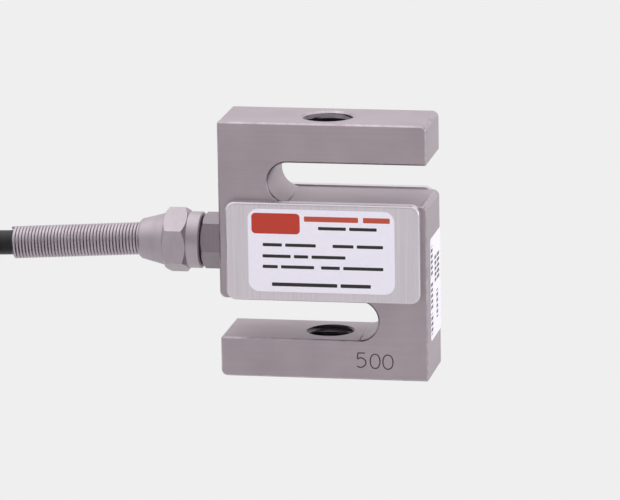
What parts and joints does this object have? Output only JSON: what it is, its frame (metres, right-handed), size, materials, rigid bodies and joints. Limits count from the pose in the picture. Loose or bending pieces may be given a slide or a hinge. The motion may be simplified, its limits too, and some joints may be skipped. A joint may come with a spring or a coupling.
{
  "type": "s type load cell",
  "caption": "S-shaped steel force sensor with threaded ends, pressed covers over a gauge cavity, and a cable with a sprung strain relief and gland.",
  "frame": {"origin": "centre of the base face, on the load axis that runs through both threaded holes", "axes": "+Z along the load axis from the lower thread to the upper thread, +X towards the mouth of the upper slot, -Y towards the labelled cover; the cable leaves towards -X"},
  "size_m": [0.2266, 0.0576, 0.063],
  "materials": {
    "body_steel": "ground alloy steel with a satin nickel finish",
    "cover_steel": "thin stainless sheet, vertical brushing",
    "sealant": "cured white silicone",
    "label_film": null,
    "gauge_foil": "etched foil on an amber backing",
    "pad_foam": "white adhesive foam",
    "board": "green solder mask",
    "resistor_body": "blue lacquer",
    "solder": "bright solder",
    "tinned_copper": "tinned copper",
    "gland_nickel": "nickel plated brass, turned",
    "spring_wire": "drawn stainless spring wire",
    "black_rubber": "black nitrile",
    "jacket": "black satin cable jacket",
    "tie_strap": "black strap",
    "core_red": "red core insulation",
    "core_green": "green core insulation",
    "core_white": "white core insulation",
    "core_black": "black core insulation"
  },
  "bodies": {
    "root": {"s_body": "body_steel", "front_cover": "cover_steel", "front_cover_seal": "sealant", "rear_cover": "cover_steel", "rear_cover_seal": "sealant", "front_label": "label_film", "side_label": "label_film", "upper_left_gauge": "gauge_foil", "upper_right_gauge": "gauge_foil", "lower_left_gauge": "gauge_foil", "lower_right_gauge": "gauge_foil", "board_pad": "pad_foam", "terminal_board": "board", "balance_resistor": "resistor_body", "span_resistor": "resistor_body", "solder_joints": "solder", "inner_red_core": "core_red", "inner_green_core": "core_green", "inner_white_core": "core_white", "inner_black_core": "core_black", "gauge_leads": "tinned_copper", "gland_body": "gland_nickel", "gland_seal_ring": "black_rubber", "sealing_grommet": "black_rubber", "clamp_ring": "gland_nickel", "compression_nut": "gland_nickel", "strain_relief_spring": "spring_wire", "sheathed_cable": "jacket", "cable": "jacket", "cable_tail": "jacket", "cable_hank": "jacket", "hank_tie_back": "tie_strap", "hank_tie_front": "tie_strap", "red_core": "core_red", "green_core": "core_green", "white_core": "core_white", "black_core": "core_black", "drain_wire": "tinned_copper"}
  },
  "joints": []
}
